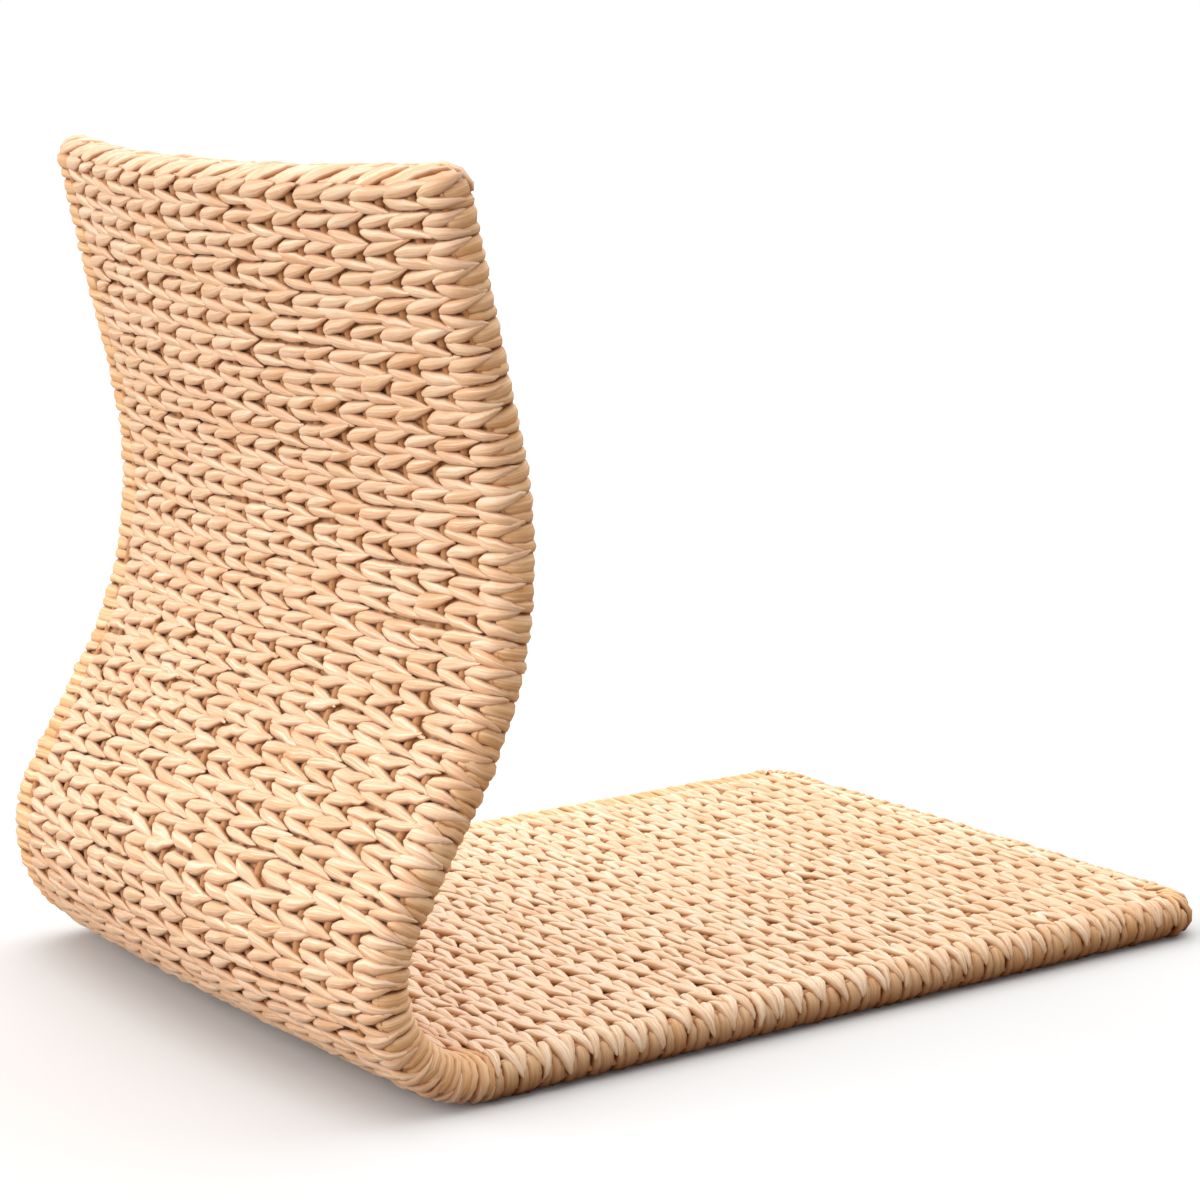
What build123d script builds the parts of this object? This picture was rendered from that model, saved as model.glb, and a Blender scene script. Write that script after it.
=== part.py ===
"""Low floor chair without legs: a welded steel bar frame, covered on both faces with twined straw.

The chair faces -Y, the sitter's left is +X and +Z is up. It lies on the floor at z = 0.
"""

import os
from math import cos, radians, sin

from build123d import *

# Overall sizes
width = 420.0  # across the woven side edges
thickness = 25.0  # over both woven faces

# Side profile on the middle of the thickness, from the front edge to the top edge
seat_length = 526.0  # front edge to the start of the rear bend
bend_radius = 61.0
bend_angle = 121.0  # turn of the bend, from the flat seat
lower_back_length = 72.0  # straight run above the bend
lumbar_radius = 232.0  # forward curve at the small of the back
back_lean = 13.0  # lean of the top run, from upright
top_length = 147.0  # straight run up to the top edge

# Rearward bow of the back at its middle, between the side rails
bow_at_seat = 0.1  # where the bend leaves the flat seat
bow_above_bend = 14.0
bow_at_top = 24.0

# Frame of square steel bar
rail_size = 8.0  # side, front and top rails
cross_bar_size = 6.0
front_corner_radius = 14.0  # rail axis at the two front corners
seat_bar_pitch = 128.0  # front rail to the first cross bar, then bar to bar
bend_bar_at = 64.0  # along the back, from the start of the bend
lumbar_bar_at = 230.0
upper_back_bar_at = 380.0

# Woven cover, twined in chains that run across the chair and round its side edges
weave_clearance = 0.3  # rail surface to the inside of the weave
chain_pitch = 16.5
chain_depth = 2.0  # groove between two chains
chain_crown = 7.0  # flat on top of a seat chain
edge_facets = 4  # flats round an edge wrap
lining_facets = 4  # straight stretches across the hidden inside of the bowed back

# Values worked out from the sizes above
outer = thickness / 2
inner = rail_size / 2 + weave_clearance
groove = outer - chain_depth
half_span = width / 2 - outer  # middle of the chair to a side rail's axis
clear_span = half_span - rail_size / 2  # to the side rail's inner face
front_axis = -seat_length + outer  # the rear bend starts at y = 0 while the pieces are made
corner_end = front_axis + front_corner_radius
sides = {"left": 1, "right": -1}

# Profile of the back, on the middle of the chair: bend, lower run, lumbar curve and top run
with BuildLine(Plane.YZ) as back_profile:
    bend = JernArc((0, outer), (0, 1, 0), bend_radius, bend_angle)
    lower_run = Line(bend @ 1, bend @ 1 + (bend % 1) * lower_back_length)
    lumbar = JernArc(lower_run @ 1, lower_run % 1, lumbar_radius, 90 - back_lean - bend_angle)
    top_run = Line(lumbar @ 1, lumbar @ 1 + (lumbar % 1) * (top_length - outer))
back_axis = back_profile.wire()
back_length = back_axis.length


def station(distance, x=0.0, outward=1):
    """Plane square to the back, at a distance along it from the start of the bend.

    Its x runs across the chair, to the side that outward gives, and its z runs up the back.
    """
    at = back_axis.position_at(distance, position_mode=PositionMode.LENGTH)
    up = back_axis.tangent_at(distance, position_mode=PositionMode.LENGTH)
    return Plane(origin=at + Vector(x, 0, 0), x_dir=(outward, 0, 0), z_dir=up)


def seat_station(y, x, outward):
    """Plane square to the seat at a side rail, with its x outward and its z to the rear."""
    return Plane(origin=(x, y, outer), x_dir=(outward, 0, 0), z_dir=(0, 1, 0))


def bow(distance):
    """Rearward bow of the back at its middle: it eases in round the bend, then grows to the top."""
    if distance < bend.length:
        share = distance / bend.length
        return bow_at_seat + (bow_above_bend - bow_at_seat) * share**2 * (3 - 2 * share)
    share = (distance - bend.length) / (back_length - bend.length)
    return bow_above_bend + (bow_at_top - bow_above_bend) * share


def cross_axis(distance):
    """Line across the back between the side rails' axes, bowed to the rear."""
    with BuildLine(station(distance)) as axis:
        ThreePointArc((-half_span, 0), (0, bow(distance)), (half_span, 0))
    return axis.wire()


def seat_axis(y):
    """Straight line across the seat between the side rails' axes."""
    with BuildLine() as axis:
        Line((-half_span, y, outer), (half_span, y, outer))
    return axis.wire()


def bar_section(path, across, size):
    """Square section of a frame bar at the start of its path, with one side along across."""
    with BuildSketch(Plane(origin=path @ 0, x_dir=across, z_dir=path % 0)) as section:
        Rectangle(size, size)
    return section.sketch


def edge_section(plane, reach=outer):
    """Section of an edge wrap, on the plane's +x side, with a channel for the bar inside it."""
    turn = 180 / edge_facets
    rim = [radians(90 - turn * facet) for facet in range(edge_facets + 1)]
    channel = [(0, -inner), (inner, -inner), (inner, inner), (0, inner)]
    with BuildSketch(plane) as section:
        with BuildLine():
            Polyline(*[(reach * cos(a), reach * sin(a)) for a in rim], *channel, close=True)
        make_face()
    return section.sketch


def back_face_section(distance, side, reach):
    """Section of a woven face of the back, rearward for side 1, from its lining to its reach.

    The lining follows the bow in straight stretches, and the front one is level over the side rails.
    """
    rise = bow(distance)
    room = max(side, 0) * rise / lining_facets**2  # keeps the rear lining's stretches off the bars
    span = half_span if side > 0 else clear_span
    shares = [2 * point / lining_facets - 1 for point in range(lining_facets + 1)]
    lining = [(span * share, side * inner + room + rise * (1 - share**2)) for share in shares]
    if side < 0:
        lining = [(-half_span, -inner), *lining, (half_span, -inner)]
    ends = (half_span, side * reach), (-half_span, side * reach)
    with BuildSketch(station(distance)) as section:
        with BuildLine():
            Polyline(ends[1], *lining, ends[0])
            ThreePointArc(ends[0], (0, side * reach + rise), ends[1])
        make_face()
    return section.sketch


def chain_rows(start, end, crown=0.0):
    """Places from start to end with the weave's reach there: a groove, then a crown, for each chain."""
    chains = round((end - start) / chain_pitch)
    step = (end - start) / chains
    rows = []
    for chain in range(chains):
        groove_at = start + chain * step
        crown_at = groove_at + step / 2
        rows.append((groove_at, groove))
        if crown > 0:
            rows.append((crown_at - crown / 2, outer))
        rows.append((crown_at + crown / 2, outer))
    rows.append((end, groove))
    return rows


pieces = {}

# Side rails: one bent bar each, from the front rail to the top rail's axis
for name, sign in sides.items():
    to_rail = Vector(sign * half_span, 0, 0)
    with BuildPart() as rail:
        with BuildLine() as rail_line:
            Line(to_rail + (0, corner_end, outer), to_rail + (0, 0, outer))
            add(back_axis.moved(Location(to_rail)))
        sweep(bar_section(rail_line.wire(), (1, 0, 0), rail_size), path=rail_line.wire())
    pieces[f"{name}_side_rail"] = rail.part

# Front rail: bent round both front corners and butted to the side rails
with BuildPart() as front_rail:
    with BuildLine() as front_line:
        left_corner = JernArc((half_span, corner_end, outer), (0, -1, 0), front_corner_radius, -90)
        front_run = Line(left_corner @ 1, (front_corner_radius - half_span, front_axis, outer))
        JernArc(front_run @ 1, front_run % 1, front_corner_radius, -90)
    front_path = front_line.wire()
    sweep(bar_section(front_path, (1, 0, 0), rail_size), path=front_path)
pieces["front_rail"] = front_rail.part

# Top rail and cross bars: straight on the seat, bowed on the back, butted to the side rails
bars = {"top_rail": (cross_axis(back_length), station(back_length).z_dir, rail_size)}
for number, name in enumerate(("seat_front_bar", "seat_middle_bar", "seat_rear_bar"), start=1):
    bars[name] = seat_axis(front_axis + number * seat_bar_pitch), (0, 0, 1), cross_bar_size
back_bars = {"bend_bar": bend_bar_at, "lumbar_bar": lumbar_bar_at, "upper_back_bar": upper_back_bar_at}
for name, distance in back_bars.items():
    bars[name] = cross_axis(distance), station(distance).z_dir, cross_bar_size

for name, (axis, up, size) in bars.items():
    with BuildPart() as bar:
        sweep(bar_section(axis, up, size), path=axis)
        split(bisect_by=Plane.YZ.offset(clear_span), keep=Keep.BOTTOM)
        split(bisect_by=Plane.YZ.offset(-clear_span), keep=Keep.TOP)
    pieces[name] = bar.part

# Woven faces of the seat, with the front corners rounded to the rail's axis
for name, side in {"seat_top_weave": 1, "seat_under_weave": -1}.items():
    lining = outer + side * inner
    rows = [(y, outer + side * reach) for y, reach in chain_rows(corner_end, 0, chain_crown)]
    with BuildPart() as seat_face:
        with BuildSketch(Plane.YZ):
            with BuildLine():
                Polyline((0, lining), (front_axis, lining), (front_axis, rows[0][1]), *rows, close=True)
            make_face()
        extrude(amount=half_span, both=True)
        fillet(seat_face.edges().filter_by(Axis.Z).group_by(Axis.Y)[0], radius=front_corner_radius)
    pieces[name] = seat_face.part

# Woven faces of the bend and back
for name, side in {"back_rear_weave": 1, "back_front_weave": -1}.items():
    with BuildPart() as back_face:
        loft([back_face_section(at, side, reach) for at, reach in chain_rows(0, back_length)], ruled=True)
    pieces[name] = back_face.part

# Strands wrapped round the side rails
for name, sign in sides.items():
    rail_x = sign * half_span
    with BuildPart() as seat_edge:
        rows = chain_rows(corner_end, 0)
        loft([edge_section(seat_station(y, rail_x, sign), reach) for y, reach in rows], ruled=True)
    pieces[f"{name}_seat_edge_wrap"] = seat_edge.part

    with BuildPart() as back_edge:
        rows = chain_rows(0, back_length)
        loft([edge_section(station(at, rail_x, sign), reach) for at, reach in rows], ruled=True)
    pieces[f"{name}_back_edge_wrap"] = back_edge.part

# Border round the front rail
with BuildPart() as front_edge:
    front_start = Plane(origin=front_path @ 0, x_dir=(1, 0, 0), z_dir=front_path % 0)
    sweep(edge_section(front_start), path=front_path)
pieces["front_edge_wrap"] = front_edge.part

# Border round the top rail, turned down over the two corners
top_path, top_up, _ = bars["top_rail"]
with BuildPart() as top_edge:
    sweep(edge_section(Plane(origin=top_path @ 0, x_dir=top_up, z_dir=top_path % 0)), path=top_path)
    for end, turn in ((0, 90), (1, -90)):
        corner = Plane(origin=top_path @ end, x_dir=top_up, z_dir=top_path % end)
        revolve(edge_section(corner), Axis(corner.origin, corner.y_dir), revolution_arc=turn)
pieces["top_edge_wrap"] = top_edge.part

# The origin is under the middle of the chair
box = Compound(list(pieces.values())).bounding_box()
to_middle = Location((0, -box.center().Y, -box.min.Z))

os.makedirs("parts", exist_ok=True)
for name, piece in pieces.items():
    placed = piece.moved(to_middle)
    placed.label = name
    export_step(placed, f"parts/{name}.step")

print(f"overall {box.size.X:.1f} x {box.size.Y:.1f} x {box.size.Z:.1f} mm")
print(f"start of the bend at y = {to_middle.position.Y:.2f} mm, lowest point moved by {-box.min.Z:.3f} mm")
print(f"length of the back {back_length:.1f} mm")
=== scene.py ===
"""Looks of the low woven floor chair: straw stitches, edges, borders, bar frame, light and camera."""

from __future__ import annotations

import logging
import math
from collections.abc import Callable
from dataclasses import dataclass, field, fields
from enum import Enum
from typing import Protocol

import bpy
import numpy as np
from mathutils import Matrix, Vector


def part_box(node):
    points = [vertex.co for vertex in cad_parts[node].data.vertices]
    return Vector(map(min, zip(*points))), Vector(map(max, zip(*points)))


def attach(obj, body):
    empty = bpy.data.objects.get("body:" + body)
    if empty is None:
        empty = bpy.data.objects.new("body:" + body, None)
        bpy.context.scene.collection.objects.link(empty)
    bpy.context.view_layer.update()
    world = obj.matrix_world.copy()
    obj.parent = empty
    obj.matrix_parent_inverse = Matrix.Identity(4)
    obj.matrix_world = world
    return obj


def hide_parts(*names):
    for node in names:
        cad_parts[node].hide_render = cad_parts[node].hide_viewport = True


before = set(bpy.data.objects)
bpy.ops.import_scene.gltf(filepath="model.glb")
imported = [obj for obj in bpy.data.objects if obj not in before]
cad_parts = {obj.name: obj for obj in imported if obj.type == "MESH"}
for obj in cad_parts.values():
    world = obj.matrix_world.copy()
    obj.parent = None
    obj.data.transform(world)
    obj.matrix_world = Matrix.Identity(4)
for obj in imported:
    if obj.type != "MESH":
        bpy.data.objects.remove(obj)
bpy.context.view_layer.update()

log = logging.getLogger("floor_chair")

MM = 0.001
BODY = "root"
SEED = 20

Colour = tuple[float, float, float, float]
Span = tuple[float, float]
Trio = tuple[float, float, float]


def select_only(piece: bpy.types.Object) -> None:
    """Selects a piece by itself and makes it active."""
    bpy.ops.object.select_all(action="DESELECT")
    piece.select_set(True)
    bpy.context.view_layer.objects.active = piece


def dress(piece: bpy.types.Object, node: str | None) -> bpy.types.Object:
    """Fixes a finished piece to the frame.

    Args:
        piece: The piece.
        node: Node of the frame that it stands for, if any.

    Returns:
        The piece.
    """
    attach(piece, BODY)
    if node:
        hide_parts(node)
    log.info("%s: %d faces", piece.name, len(piece.data.polygons))
    return piece


class Side(Enum):
    """Where a stitch lies on the loop round the panel."""

    OUTER = "outer"
    RIGHT = "right"
    INNER = "inner"
    LEFT = "left"


class Region(Enum):
    """The two lengths of panel whose stitches run opposite ways."""

    SEAT = "seat"
    BACK = "back"


class Surface(Protocol):
    """A curved face that strands are laid on."""

    def point(self, along: np.ndarray, across: np.ndarray, height: np.ndarray) -> np.ndarray:
        """Gives the places of points on the face."""


@dataclass(frozen=True)
class Panel:
    """The bent and bowed panel, with a stadium section, that the weave covers.

    Along runs round the section: the outer face from left to right, the right edge, the inner face
    back to the left, and the left edge. Across runs up the profile from the start of the rear bend.
    """

    width: float = 420 * MM
    thickness: float = 25 * MM
    seat_length: float = 526 * MM
    front_corner_radius: float = 14 * MM
    bend_radius: float = 61 * MM
    bend_angle: float = math.radians(121)
    lower_run: float = 72 * MM
    lumbar_radius: float = 232 * MM
    back_lean: float = math.radians(13)
    top_length: float = 147 * MM
    bow_above_bend: float = 14 * MM
    bow_at_top: float = 24 * MM
    bow_limit: float = 1.1
    bend_start: float = 0.0

    @property
    def outer(self) -> float:
        """Half of the panel's thickness."""
        return self.thickness / 2

    @property
    def half_span(self) -> float:
        """Middle of the chair to the axis of a side edge."""
        return self.width / 2 - self.outer

    @property
    def edge_length(self) -> float:
        """Way round one side edge."""
        return math.pi * self.outer

    @property
    def loop_length(self) -> float:
        """Way round the whole section."""
        return 4 * self.half_span + 2 * self.edge_length

    @property
    def side_starts(self) -> Trio:
        """Places round the loop where the right edge, the inner face and the left edge start."""
        span = 2 * self.half_span
        return span, span + self.edge_length, 2 * span + self.edge_length

    @property
    def bend_length(self) -> float:
        """Length of the rear bend on the middle of the thickness."""
        return self.bend_radius * self.bend_angle

    @property
    def lumbar_length(self) -> float:
        """Length of the forward curve at the small of the back."""
        return self.lumbar_radius * (self.bend_angle - math.pi / 2 + self.back_lean)

    @property
    def back_length(self) -> float:
        """Length from the start of the bend to the axis of the top edge."""
        return self.bend_length + self.lower_run + self.lumbar_length + self.top_length - self.outer

    @property
    def front_axis(self) -> float:
        """Place of the front edge's axis along the profile."""
        return self.outer - self.seat_length

    @property
    def corner_end(self) -> float:
        """Place along the profile where the front corners end."""
        return self.front_axis + self.front_corner_radius

    def profile(self, s: np.ndarray) -> tuple[np.ndarray, np.ndarray, np.ndarray]:
        """Follows the middle of the thickness.

        Args:
            s: Distances from the start of the bend, negative on the seat.

        Returns:
            The y and z of each place, and the angle of the profile there.
        """
        lower_start = self.bend_length
        lumbar_start = lower_start + self.lower_run
        top_start = lumbar_start + self.lumbar_length
        lean = math.pi / 2 - self.back_lean
        turn = np.clip(s, 0, self.bend_length) / self.bend_radius
        y = np.minimum(s, 0) + self.bend_radius * np.sin(turn)
        z = self.outer + self.bend_radius * (1 - np.cos(turn))
        lower = np.clip(s - lower_start, 0, self.lower_run)
        y = y + lower * math.cos(self.bend_angle)
        z = z + lower * math.sin(self.bend_angle)
        unbend = self.bend_angle - np.clip(s - lumbar_start, 0, self.lumbar_length) / self.lumbar_radius
        y = y + self.lumbar_radius * (math.sin(self.bend_angle) - np.sin(unbend))
        z = z + self.lumbar_radius * (np.cos(unbend) - math.cos(self.bend_angle))
        top = np.maximum(s - top_start, 0)
        y = y + top * math.cos(lean)
        z = z + top * math.sin(lean)
        return y + self.bend_start, z, np.where(s < lumbar_start, turn, unbend)

    def bow(self, s: np.ndarray) -> np.ndarray:
        """Finds the rearward bow of the panel's middle.

        Args:
            s: Distances along the profile.

        Returns:
            The bow at each place. It eases in round the bend and grows to just past the top edge.
        """
        share = np.clip(s / self.bend_length, 0, 1)
        eased = self.bow_above_bend * share**2 * (3 - 2 * share)
        rest = np.clip((s - self.bend_length) / (self.back_length - self.bend_length), 0, self.bow_limit)
        return eased + (self.bow_at_top - self.bow_above_bend) * rest

    def even_on_outer_face(self, rows: int, overrun: float) -> np.ndarray:
        """Divides the back into rows that are equally high on its rear face.

        Args:
            rows: Number of rows.
            overrun: How far the rows run past the top edge's axis.

        Returns:
            Distances along the profile of the lines between them, with both ends.
        """
        lengths = np.array([self.bend_length, self.lower_run, self.lumbar_length,
                            self.top_length - self.outer + overrun])
        bends = np.array([1 / self.bend_radius, 0, -1 / self.lumbar_radius, 0])
        middle = np.concatenate([[0], np.cumsum(lengths)])
        rear = np.concatenate([[0], np.cumsum(lengths * (1 + bends * self.outer))])
        return np.interp(np.linspace(0, rear[-1], rows + 1), rear, middle)

    def frame_at(self, u: np.ndarray, s: np.ndarray) -> tuple[np.ndarray, np.ndarray, np.ndarray]:
        """Finds the middle of the thickness and the section's two directions there.

        Args:
            u: Places across the chair.
            s: Distances along the profile.

        Returns:
            The places, the outer normals and the directions to the left, as arrays of vectors.
        """
        y, z, angle = self.profile(s)
        bow = self.bow(s)
        share = u / self.half_span
        tilt = np.arctan(2 * bow * share / self.half_span)
        zero = np.zeros_like(y)
        rear = np.stack([zero, np.sin(angle), -np.cos(angle)], -1)
        left = np.stack([zero + 1, zero, zero], -1)
        middle = np.stack([u + zero, y, z], -1) + rear * (bow * (1 - share**2))[..., None]
        cos, sin = np.cos(tilt)[..., None], np.sin(tilt)[..., None]
        return middle, rear * cos + left * sin, left * cos - rear * sin

    def point(self, along: np.ndarray, across: np.ndarray, height: np.ndarray) -> np.ndarray:
        """Gives the places of points on the panel.

        Args:
            along: Distances round the section's loop.
            across: Distances along the profile.
            height: Heights above the panel's nominal faces.

        Returns:
            The places, as an array of vectors.
        """
        right_start, inner_start, left_start = self.side_starts
        w = np.mod(along, self.loop_length)
        side = self.side(along)
        u = np.choose(side, [self.half_span - w, -self.half_span, w - inner_start - self.half_span,
                             self.half_span])
        turn = np.choose(side, [0.0, (w - right_start) / self.outer, np.pi,
                                np.pi + (w - left_start) / self.outer])
        middle, normal, left = self.frame_at(u, across)
        out = normal * np.cos(turn)[..., None] - left * np.sin(turn)[..., None]
        return middle + out * (self.outer + height)[..., None]

    def side(self, along: np.ndarray) -> np.ndarray:
        """Names the side of the loop that each place is on, as an index into Side."""
        return np.searchsorted(self.side_starts, np.mod(along, self.loop_length), side="right")


@dataclass(frozen=True)
class TopEdge:
    """Rounded top edge. Along runs from left to right, across from the rear face over to the front."""

    panel: Panel
    crown: float = 4 * MM

    def point(self, along: np.ndarray, across: np.ndarray, height: np.ndarray) -> np.ndarray:
        """Gives the places of points on the top edge, turned down round its two corners.

        Args:
            along: Distances from the middle of the edge to the right.
            across: Distances from its crest to the front.
            height: Heights above its surface.

        Returns:
            The places, as an array of vectors.
        """
        panel = self.panel
        half = panel.half_span
        u = np.clip(-along, -half, half)
        s = np.full_like(u, panel.back_length)
        middle, rear, left = panel.frame_at(u, s)
        _, _, angle = panel.profile(s)
        up = np.stack([0 * u, np.cos(angle), np.sin(angle)], -1)
        over = np.clip((np.abs(along) - half) / panel.outer, 0, math.pi / 2) * -np.sign(along)
        up = up * np.cos(over)[..., None] + left * np.sin(over)[..., None]
        roll = across / panel.outer
        out = up * np.cos(roll)[..., None] - rear * np.sin(roll)[..., None]
        crown = up * (self.crown * np.clip(np.cos(roll), 0, 1) * np.cos(over))[..., None]
        return middle + out * (panel.outer + height)[..., None] + crown


@dataclass(frozen=True)
class FrontEdge:
    """Rounded front edge with its two corners. Along runs over from the top to the underside.

    Across runs from the left corner's end round the front to the right corner's end.
    """

    panel: Panel

    @property
    def corner_length(self) -> float:
        """Length of one corner on the edge's axis."""
        return self.panel.front_corner_radius * math.pi / 2

    @property
    def run_length(self) -> float:
        """Length of the straight front between the corners."""
        return 2 * (self.panel.half_span - self.panel.front_corner_radius)

    @property
    def length(self) -> float:
        """Length of the whole edge on its axis."""
        return self.run_length + 2 * self.corner_length

    def point(self, along: np.ndarray, across: np.ndarray, height: np.ndarray) -> np.ndarray:
        """Gives the places of points on the front edge.

        Args:
            along: Distances from the foremost line, up and inward if negative, else down and inward.
            across: Distances along the edge's axis from the left corner's end.
            height: Heights above its surface.

        Returns:
            The places, as an array of vectors.
        """
        panel = self.panel
        radius = panel.front_corner_radius
        first = np.clip(across, 0, self.corner_length) / radius
        run = np.clip(across - self.corner_length, 0, self.run_length)
        last = np.clip(across - self.corner_length - self.run_length, 0, self.corner_length) / radius
        turn = first + last
        outward = np.stack([np.cos(turn), -np.sin(turn), 0 * turn], -1)
        centre_x = panel.half_span - radius - run
        centre_y = panel.corner_end + panel.bend_start
        centre = np.stack([centre_x, 0 * run + centre_y, 0 * run + panel.outer], -1)
        quarter = math.pi / 2
        roll = np.clip(along / panel.outer, -quarter, quarter)
        inward = np.clip(np.abs(along) - quarter * panel.outer, 0, radius)
        up = np.array([0.0, 0.0, 1.0])
        out = outward * np.cos(roll)[..., None] - up * np.sin(roll)[..., None]
        return centre + outward * (radius - inward)[..., None] + out * (panel.outer + height)[..., None]


@dataclass(frozen=True)
class Ring:
    """Size and place of one ring of a strand, in metres.

    Attributes:
        aside: Shift of the ring's middle to the strand's left.
        half_width: Half of its width.
        top: Height of its upper surface.
        half_depth: Half of its depth.
    """

    aside: float
    half_width: float
    top: float
    half_depth: float


class StrandShape:
    """One straw strand, modelled once and laid many times, from its head at the origin to its tail."""

    segments: int = 8
    underside: float = 0.6
    flat: float = 1e-6
    ring_reach: float = 0.01

    def __init__(self, name: str, length: float, tips: tuple[Span, Span], rings: list[Ring],
                 shoulder: float = 1.0) -> None:
        """Models the strand.

        Args:
            name: Name of the shape.
            length: Length from head to tail.
            tips: How far aside and how high the head's tip and the tail's tip lie.
            rings: The rings between the tips, from head to tail.
            shoulder: Factor that swells its upper flanks.
        """
        self.length = length
        self.shoulder = shoulder
        bpy.ops.object.select_all(action="DESELECT")
        bpy.ops.mesh.primitive_uv_sphere_add(
            segments=self.segments, ring_count=len(rings) + 1, radius=length / 2,
            location=(length / 2, 0, 0), rotation=(0, -math.pi / 2, 0))
        strand = bpy.context.object
        strand.name = name
        bpy.ops.object.transform_apply(location=True, rotation=True, scale=True)
        self._shape(strand, tips, rings)
        bpy.ops.object.shade_smooth()
        self._keep(strand.data)
        bpy.data.objects.remove(strand)

    def _shape(self, strand: bpy.types.Object, tips: tuple[Span, Span], rings: list[Ring]) -> None:
        """Scales and moves the sphere's rings into the strand's form.

        Args:
            strand: The sphere, lying along x.
            tips: Places of the head's tip and the tail's tip.
            rings: The rings between the tips.
        """
        half = self.length / 2
        self._pick(strand, lambda v: v.co.z < -self.flat)
        bpy.ops.transform.resize(value=(1, 1, self.underside), center_override=(half, 0, 0))
        self._end()
        self._pick(strand, lambda v: v.co.z > self.flat and abs(v.co.y) > self.flat)
        bpy.ops.transform.resize(value=(1, self.shoulder, self.shoulder), center_override=(half, 0, 0))
        self._end()
        for number, ring in enumerate(rings, start=1):
            polar = math.pi * number / (len(rings) + 1)
            x = half * (1 - math.cos(polar))
            radius = half * math.sin(polar)
            self._pick_at(strand, x)
            wide, deep = ring.half_width / radius, ring.half_depth / radius
            bpy.ops.transform.resize(value=(1, wide, deep), center_override=(x, 0, 0))
            bpy.ops.transform.translate(value=(0, ring.aside, ring.top - ring.half_depth))
            self._end()
        for x, (aside, top) in zip((0.0, self.length), tips):
            self._pick_at(strand, x)
            bpy.ops.transform.translate(value=(0, aside, top))
            self._end()

    @staticmethod
    def _pick(strand: bpy.types.Object, wanted: Callable[[bpy.types.MeshVertex], bool]) -> None:
        """Opens edit mode with only the wanted vertices selected.

        Args:
            strand: The object to edit.
            wanted: Says of a vertex whether it is selected.
        """
        bpy.ops.object.mode_set(mode="EDIT")
        bpy.ops.mesh.select_mode(type="VERT")
        bpy.ops.mesh.select_all(action="DESELECT")
        bpy.ops.object.mode_set(mode="OBJECT")
        for vertex in strand.data.vertices:
            vertex.select = bool(wanted(vertex))
        bpy.ops.object.mode_set(mode="EDIT")

    def _pick_at(self, strand: bpy.types.Object, x: float) -> None:
        """Opens edit mode with only the ring or tip at a place along the strand selected."""
        self._pick(strand, lambda v: abs(v.co.x - x) < self.length / 2 * self.ring_reach)

    @staticmethod
    def _end() -> None:
        """Leaves edit mode."""
        bpy.ops.object.mode_set(mode="OBJECT")

    def _keep(self, mesh: bpy.types.Mesh) -> None:
        """Keeps the finished strand's points, faces and UVs.

        Args:
            mesh: The modelled mesh.
        """
        points = np.zeros(len(mesh.vertices) * 3)
        mesh.vertices.foreach_get("co", points)
        self.points = points.reshape(-1, 3)
        self.corners = np.zeros(len(mesh.loops), int)
        mesh.loops.foreach_get("vertex_index", self.corners)
        self.totals = np.zeros(len(mesh.polygons), int)
        mesh.polygons.foreach_get("loop_total", self.totals)
        uv = np.zeros(len(mesh.loops) * 2)
        mesh.uv_layers.active.data.foreach_get("uv", uv)
        self.uv = uv.reshape(-1, 2)
        _, self.ring_of = np.unique(self.points[:, 0].round(6), return_inverse=True)


@dataclass
class Lot:
    """Many strands of one shape, each with its place and its own size, slant and tone.

    Attributes:
        along: Places of the heads along the surface.
        across: Places of the heads across it.
        turn: 1, or -1 for strands turned half round.
        stretch: Factors on length, width and depth.
        slant: Angles that the strands are turned by.
        lift: Heights added.
        tone: Tones of the straw, about -1 to 1, with painted light and shade of the rows on seat and back.
        crumple: Factors on the strands' unevenness.
    """

    along: np.ndarray
    across: np.ndarray
    turn: np.ndarray
    stretch: np.ndarray
    slant: np.ndarray
    lift: np.ndarray
    tone: np.ndarray
    crumple: np.ndarray

    def pick(self, wanted: np.ndarray) -> Lot:
        """Takes the wanted strands out of the lot."""
        return Lot(*(getattr(self, item.name)[wanted] for item in fields(self)))


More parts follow.
